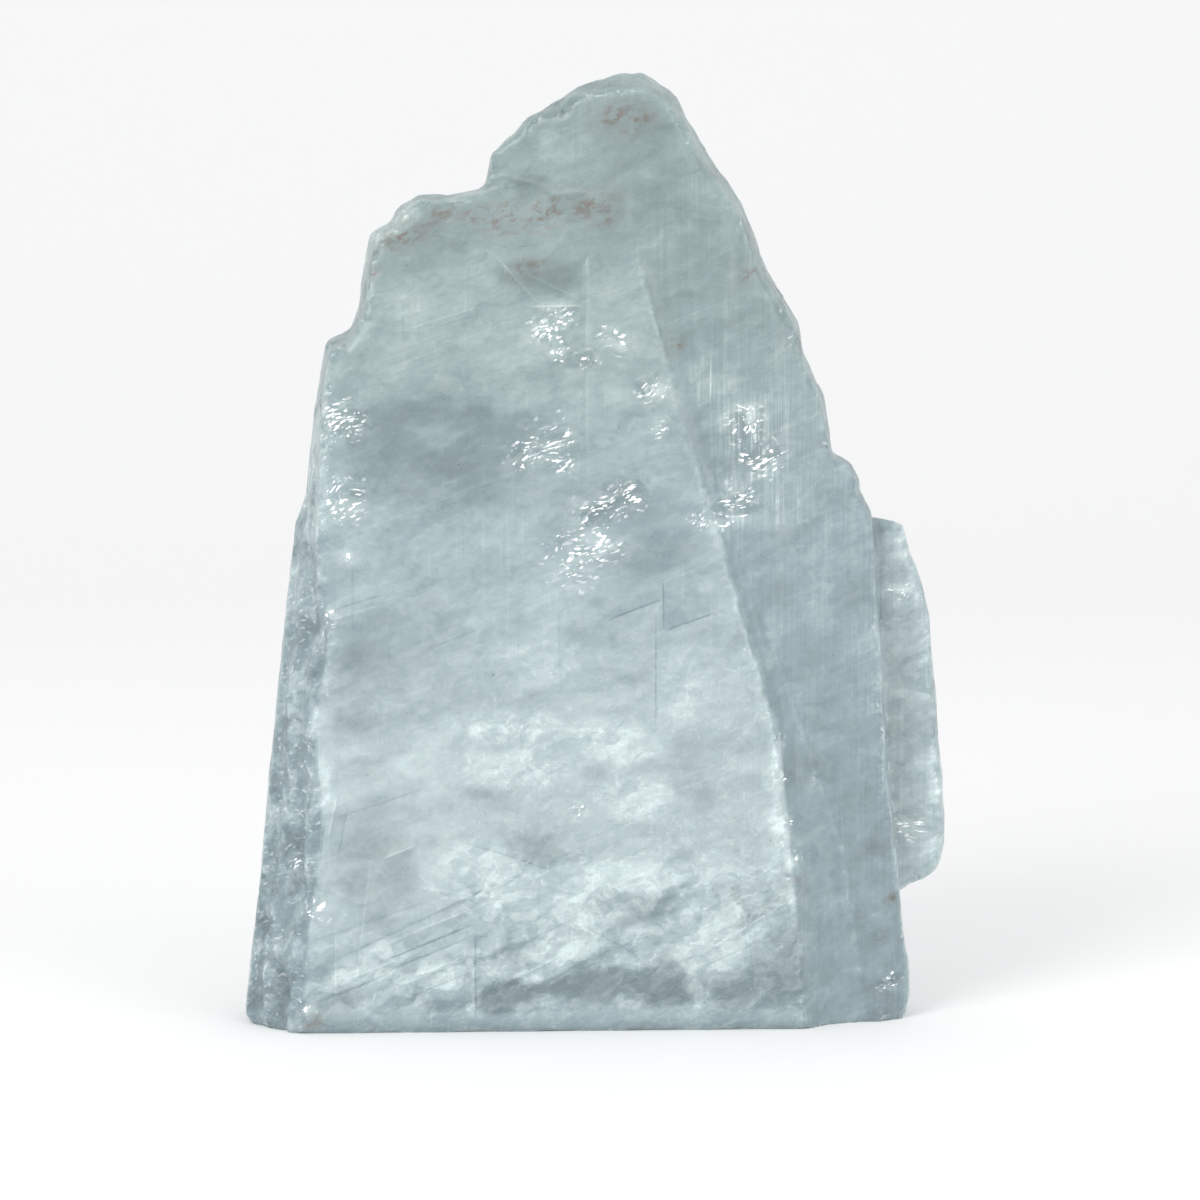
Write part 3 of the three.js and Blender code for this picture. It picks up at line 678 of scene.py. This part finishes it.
def score_lines(bm):
    """Cuts the show face along each cleavage line and close beside it."""
    for x, z, length, degrees, _ in LINES:
        faces = []
        for face in bm.faces:
            middle = face.calc_center_median()
            along, across = turned(middle.x / MM - x, middle.z / MM - z, degrees)
            if face.normal.y < -0.8 and abs(along) < length / 2 + 1 and abs(across) < 4:
                faces.append(face)
        edges = {edge for face in faces for edge in face.edges}
        verts = {vert for face in faces for vert in face.verts}
        geometry = faces + list(edges) + list(verts)
        angle = math.radians(degrees)
        normal = Vector((-math.sin(angle), 0, math.cos(angle)))
        for offset in (-LINE_HALF, 0, LINE_HALF):
            point = Vector((x, 0, z)) * MM + normal * offset * MM
            cut = bmesh.ops.bisect_plane(bm, geom=geometry, dist=1e-7, plane_co=point, plane_no=normal)
            geometry = cut["geom"]


def inside_front(x, z):
    """Whether a place lies well inside the show face or the side plate, in millimetres."""
    on_face = at_height(FLANK_EDGE, z) + 1.2 < x < at_height(RIDGE, z) - 1
    on_plate = at_height(RIDGE, z, 2) + 1 < x < at_height(PLATE_EDGE, z) - 2
    low_face, high_face = FACE_HEIGHTS
    low_plate, high_plate = PLATE_HEIGHTS
    return (on_face and low_face < z < high_face) or (on_plate and low_plate < z < high_plate)


def is_inner(vertex):
    """Whether a vertex belongs to the flat faces at the front, away from their outer edges."""
    at_front = vertex.co.y < 1.5 * MM and vertex.normal.y < 0.3
    return at_front and inside_front(vertex.co.x / MM, vertex.co.z / MM)


def soften_steps(bm, rounds):
    """Eases the low steps inside the flat faces, which the stone's clearness hides."""
    inner = [vertex for vertex in bm.verts if is_inner(vertex)]
    for _ in range(rounds):
        bmesh.ops.smooth_vert(
            bm, verts=inner, factor=0.5, use_axis_x=False, use_axis_y=True, use_axis_z=False)


def worn_edges(bm):
    """A value for each vertex: 1 on a sharp outer edge, less beside it, 0 on flat ground."""
    worn = []
    for vertex in bm.verts:
        bend = sum(edge.calc_face_angle_signed(0.0) for edge in vertex.link_edges)
        worn.append(0.0 if is_inner(vertex) else ease((math.degrees(bend) - 25) / 45))
    for _ in range(2):
        spread = list(worn)
        for edge in bm.edges:
            first, second = edge.verts[0].index, edge.verts[1].index
            spread[first] = max(spread[first], 0.45 * worn[second])
            spread[second] = max(spread[second], 0.45 * worn[first])
        worn = spread
    return worn


def cloud_at(x, z):
    """How milky the show face is at a place, from clear to milky, with uneven borders."""
    shift = noise.noise_vector(Vector((x / 6, 0, z / 5)))
    x += 2.6 * shift.x
    z += 1.6 * shift.z
    total = 0.0
    for middle_x, middle_z, half_width, half_height, degrees, strength in CLOUDS:
        reach = 1.5 * max(half_width, half_height)
        if abs(x - middle_x) < reach and abs(z - middle_z) < reach:
            along, across = turned(x - middle_x, z - middle_z, degrees)
            away = math.hypot(along / half_width, across / half_height)
            total += strength * ease(1.4 - away)
    return clamp(total, -1.2, 1.2)


def line_at(x, z):
    """The strength of the cleavage line at a place, and how far its ledges lift the place."""
    strength = 0.0
    lift = 0.0
    for middle_x, middle_z, length, degrees, amount in LINES:
        reach = length / 2 + 8
        if abs(x - middle_x) < reach and abs(z - middle_z) < reach:
            along, across = turned(x - middle_x, z - middle_z, degrees)
            window = clamp((length / 2 - abs(along)) / (0.2 * length))
            side = clamp(across / LINE_HALF, -1, 1)
            strength += amount * window * clamp(1 - abs(across) / LINE_HALF)
            strength += 0.22 * amount * window * side * math.exp(-abs(across) / 2.5)
            lift += abs(amount) * window * side * math.exp(-abs(across) / 3)
    return strength, lift


def nearness(places, x, z, stretch=1.0):
    """How near a place is to the nearest of some spots, drawn out along the cleavage, from 0 to 1."""
    near = 0.0
    for spot_x, spot_z, radius in places:
        reach = 3 * stretch * radius
        if abs(x - spot_x) < reach and abs(z - spot_z) < reach:
            along, across = turned(x - spot_x, z - spot_z, math.degrees(RISING))
            away = math.hypot(along / stretch, across) / radius
            near = max(near, clamp((2.6 - away) / 2.5))
    return near


def shift_at(point):
    """How far the patterns are pushed aside at a point, so that none of them runs dead straight."""
    shift = Vector()
    for reach, size in PUSHES:
        shift += reach * MM * noise.noise_vector(point / (size * MM))
    return shift


def random_of_cell(place, grain):
    """A random value from -1 to 1 for the box-like cell that a place lies in."""
    scaled = Vector([where / size for where, size in zip(place, grain)])
    middle = noise.voronoi(scaled, distance_metric="CHEBYCHEV")[1][0]
    return noise.cell(middle * 9.7)


def cleavage_at(point, shift):
    """The wisps, the two layers of sheets, the panes and the flank's blocks at a point."""
    x, y, z = (point + shift) / MM
    along, across = turned(x, z, math.degrees(RISING))
    wisp = 0.26 * uneven((along, y, across), WISP_GRAIN, 0.65, 4)
    sheet = uneven((along, y + 45, across), SHEET_GRAIN, 0.7, 4)
    steep, aside = turned(x, z, FILM_TURN)
    film = uneven((steep, y + 15, aside), FILM_GRAIN, 0.7, 3)
    pane = random_of_cell((x, y, across), PANE_GRAIN)
    block = random_of_cell((x, y, z), BLOCK_GRAIN)
    return wisp, sheet, film, pane, block


def steps_of(level, count):
    """A value from 0 to 1 brought to one of a few levels, with short slopes between them."""
    place = clamp(level) * count
    whole = math.floor(place)
    return (whole + ease((place - whole) * 2.5)) / count


def face_relief(place, broken, settings):
    """Cleavage terraces of the show face along the rising direction, and splinters where it is broken."""
    along, across = turned(place[0], place[2], math.degrees(RISING))
    turned_place = (along, place[1], across)
    level = 0.5 + 0.5 * uneven(turned_place, TERRACE_GRAIN, 0.9, 3)
    terrace = settings.terrace * (0.12 + 0.4 * broken) * (steps_of(level, 6) - 0.5)
    level = 0.5 + 0.5 * uneven(turned_place, SPLINTER_GRAIN, 0.8, 2)
    return terrace + settings.splinter * broken * (steps_of(level, 4) - 0.5)


def plate_relief(place, settings):
    """Upright grooves of the side plate and of the rear."""
    return settings.groove * uneven(place, GROOVE_GRAIN, 1.0, 2, gap=2.0)


def flank_relief(place, settings):
    """Thin upright blades of the flanks, with broken ends."""
    level = 0.5 + 0.6 * uneven(place, BLADE_GRAIN, 0.9, 2)
    return 0.7 * settings.terrace * (steps_of(level, 5) - 0.5)


def chip_at(place):
    """How deep an edge is chipped at a place, from 0 to 1.4, in blunt and in sharp-cornered chips."""
    depth = uneven(place, CHIP_GRAIN, 1.0, 3, gap=2.0) + 0.6 * random_of_cell(place, CHIP_CELL) + 0.15
    return clamp(depth, 0.0, 1.4)


def regions_at(place, normal):
    """How far a place belongs to the show face, side plate, ridge wall, left band, flanks and flake."""
    x, y, z = place
    to_show = -normal.y
    crest, foot = at_height(RIDGE, z), at_height(RIDGE, z, 2)
    front = ease((to_show - 0.25) / 0.4)
    plate = front * ease((x - foot) / 1.2)
    if z > PEAK_FROM:
        plate *= ease((x - 12) / 10)
    wall = ease((x - crest) / 0.8) * (1 - ease((x - foot) / 1.2)) * ease((PEAK_FROM - z) / 4)
    wall *= to_show > 0
    band = ease((at_height(FLANK_EDGE, z) - x) / 0.8) * ease((to_show - 0.1) / 0.2)
    flank = 1 - ease((abs(normal.y) - 0.55) / 0.3)
    flake = ease((x - FLAKE_FROM) / 1.5) * ease((y - 1.5) / 1.0)
    flake *= ease((z - FLAKE_HEIGHTS[0]) / 2) * ease((FLAKE_HEIGHTS[1] - z) / 2)
    return front, plate, wall, band, flank, flake


def surface_at(point, normal, worn, shift, settings):
    """How far a point of the surface is moved along its normal, and what is stored there."""
    place = tuple(point / MM)
    x, _, z = place
    front, plate, wall, band, flank, flake = regions_at(place, normal)
    show = front * (1 - plate) * (1 - wall)

    cloud = 0.6 * uneven(place, CLOUD_GRAIN, 0.9, 4)
    puff = 0.45 * uneven(place, PUFF_GRAIN, 0.8, 4)
    milk = cloud * (1 - 0.8 * show) + puff * (1 - 0.6 * show) + 1.2 * show * cloud_at(x, z)
    milk *= 1 - 0.6 * max(plate, wall) * front
    line, lift = line_at(x, z) if show > 0.5 else (0.0, 0.0)
    # Where the painted glints go: white spots for flashing facets, partly real white fracture flecks
    painted_glint = front * nearness(PAINTED_GLINTS, x, z)
    stain = front * nearness(STAINS, x, z, 1.8)

    # Where the show face is splintered: low down but above the bottom strip, and in the clusters
    low = ease((40 - z) / 12) * ease((z - 3.5) / 1.5)
    broken = show * max(0.6 * low, painted_glint, 0.6 * band)
    relief = settings.swell * uneven(place, SWELL_GRAIN, 1.0, 3, gap=2.0)
    relief += show * (face_relief(place, broken, settings) + settings.ledge * lift)
    relief += (1 - flank) * (1 - show) * plate_relief(place, settings)
    relief += flank * (1 - wall) * (1 - 0.65 * band) * flank_relief(place, settings)
    if worn:
        relief -= settings.chip * chip_at(place) * worn
    # Where the painted sheen goes on the side plate
    painted_sheen = plate * nearness(PAINTED_SHEEN_SPOTS, x, z)
    marks = (milk, worn, plate, wall, band, flank, flake, painted_glint, stain, line, painted_sheen)
    return relief, marks + cleavage_at(point, shift)


def shape_surface(bm, settings):
    """Moves every vertex by its relief, and returns the values and the shift to store at each."""
    bm.normal_update()
    bm.verts.index_update()
    worn = worn_edges(bm)
    stored = []
    shifts = []
    moves = []
    for vertex in bm.verts:
        shift = shift_at(vertex.co)
        away, values = surface_at(vertex.co, vertex.normal, worn[vertex.index], shift, settings)
        grounded = vertex.co.z < 0.5 * MM
        moves.append(vertex.normal * (0.0 if grounded else away))
        stored.append(values)
        shifts.extend(shift)
    for vertex, move in zip(bm.verts, moves):
        moved = vertex.co + move
        for axis in range(3):
            moved[axis] = clamp(moved[axis], LOWEST[axis], HIGHEST[axis])
        vertex.co = moved
    return stored, shifts


class OBJECT_OT_selenite_slab(bpy.types.Operator):
    """Make the stone: the solid's faces, cut fine and given their cleavage relief."""
    bl_idname = "object.selenite_slab"
    bl_label = "Selenite slab"

    def execute(self, context):
        """Builds the stone's mesh and its material."""
        settings = context.scene.selenite_slab
        noise.seed_set(SEED)
        bm = even_mesh(context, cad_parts[NODE].data, settings.spacing)
        score_lines(bm)
        bmesh.ops.dissolve_degenerate(bm, dist=SHORTEST * MM, edges=bm.edges)
        bmesh.ops.triangulate(bm, faces=bm.faces, quad_method="SHORT_EDGE", ngon_method="BEAUTY")
        bm.normal_update()
        soften_steps(bm, settings.softening)
        stored, shifts = shape_surface(bm, settings)
        mesh = bpy.data.meshes.new("selenite_stone")
        bm.to_mesh(mesh)
        bm.free()
        for k, name in enumerate(VALUES):
            attribute = mesh.attributes.new(name, "FLOAT", "POINT")
            attribute.data.foreach_set("value", [values[k] for values in stored])
        mesh.attributes.new(SHIFT, "FLOAT_VECTOR", "POINT").data.foreach_set("vector", shifts)
        mesh.shade_smooth()
        mesh.set_sharp_from_angle(angle=math.radians(40))
        mesh.materials.append(selenite_material(settings))
        stone = bpy.data.objects.new("selenite_stone", mesh)
        context.scene.collection.objects.link(stone)
        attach(stone, "root")
        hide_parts(NODE)
        print("triangles", len(mesh.polygons))
        return {"FINISHED"}


def area_light(name, place, size, power):
    """A square soft light that looks at the stone."""
    data = bpy.data.lights.new(name, "AREA")
    data.size = size
    data.energy = power
    light = bpy.data.objects.new(name, data)
    light.location = place
    toward = Vector(STONE_MIDDLE) - Vector(place)
    light.rotation_euler = toward.to_track_quat("-Z", "Y").to_euler()
    bpy.context.scene.collection.objects.link(light)


def swept_backdrop(floor_color):
    """A pale floor that curves up into a backdrop."""
    bm = bmesh.new()
    near_left = bm.verts.new((-BACKDROP_HALF, FLOOR_FRONT, 0))
    near_right = bm.verts.new((BACKDROP_HALF, FLOOR_FRONT, 0))
    edge = bm.edges.new((near_left, near_right))
    folds = []
    for step in ((0, FLOOR_DEPTH, 0), (0, 0, WALL_HEIGHT)):
        grown = bmesh.ops.extrude_edge_only(bm, edges=[edge])["geom"]
        far = [item for item in grown if isinstance(item, bmesh.types.BMVert)]
        bmesh.ops.translate(bm, vec=step, verts=far)
        edge = bm.edges.get(far)
        folds.append(edge)
    bmesh.ops.bevel(
        bm, geom=folds[:1], offset=FOLD_RADIUS, segments=16, profile=0.5, affect="EDGES", material=-1)
    mesh = bpy.data.meshes.new("backdrop")
    bm.to_mesh(mesh)
    bm.free()
    mesh.shade_smooth()
    paper = bpy.data.materials.new("pale_paper")
    paper.use_nodes = True
    shader = paper.node_tree.nodes["Principled BSDF"]
    shader.inputs["Base Color"].default_value = floor_color
    shader.inputs["Roughness"].default_value = 0.9
    mesh.materials.append(paper)
    backdrop = bpy.data.objects.new("backdrop", mesh)
    bpy.context.scene.collection.objects.link(backdrop)


class SCENE_OT_selenite_studio(bpy.types.Operator):
    """Make the pale floor and backdrop, the soft lights and the camera."""
    bl_idname = "scene.selenite_studio"
    bl_label = "Studio"

    def execute(self, context):
        """Builds the stage and sets the camera."""
        settings = context.scene.selenite_studio
        swept_backdrop(settings.floor_color)
        area_light("key_light", KEY_PLACE, KEY_SIZE, settings.key_power)
        area_light("fill_light", FILL_PLACE, FILL_SIZE, settings.fill_power)
        world = bpy.data.worlds.new("studio")
        world.use_nodes = True
        background = world.node_tree.nodes["Background"]
        background.inputs["Color"].default_value = SKY_COLOR
        background.inputs["Strength"].default_value = SKY_STRENGTH
        context.scene.world = world
        context.scene.view_settings.view_transform = "Standard"

        data = bpy.data.cameras.new("camera")
        data.lens = settings.lens
        data.sensor_width = 36
        data.clip_end = 20
        camera = bpy.data.objects.new("camera", data)
        toward = Vector((0, math.cos(settings.elevation), -math.sin(settings.elevation)))
        camera.location = Vector(AIM) - toward * settings.distance
        camera.rotation_euler = toward.to_track_quat("-Z", "Y").to_euler()
        context.scene.collection.objects.link(camera)
        context.scene.camera = camera
        return {"FINISHED"}


class VIEW3D_PT_selenite(bpy.types.Panel):
    """The stone's and the studio's settings."""
    bl_idname = "VIEW3D_PT_selenite"
    bl_label = "Selenite slab"
    bl_space_type = "VIEW_3D"
    bl_region_type = "UI"
    bl_category = "Selenite"

    def draw(self, context):
        """Lists the settings above the operator that uses them."""
        parts = (("selenite_slab", "object.selenite_slab"), ("selenite_studio", "scene.selenite_studio"))
        for group, operator in parts:
            box = self.layout.box()
            settings = getattr(context.scene, group)
            for name in settings.__annotations__:
                box.prop(settings, name)
            box.operator(operator)


CLASSES = (
    SlabSettings,
    StudioSettings,
    OBJECT_OT_selenite_slab,
    SCENE_OT_selenite_studio,
    VIEW3D_PT_selenite,
)


def register():
    """Adds the classes and their settings."""
    for each in CLASSES:
        bpy.utils.register_class(each)
    bpy.types.Scene.selenite_slab = bpy.props.PointerProperty(type=SlabSettings)
    bpy.types.Scene.selenite_studio = bpy.props.PointerProperty(type=StudioSettings)


def unregister():
    """Takes the classes and their settings away."""
    del bpy.types.Scene.selenite_studio
    del bpy.types.Scene.selenite_slab
    for each in reversed(CLASSES):
        bpy.utils.unregister_class(each)


def main():
    """Makes the stone and the studio."""
    register()
    bpy.ops.object.selenite_slab()
    bpy.ops.scene.selenite_studio()


if __name__ == "__main__":
    main()
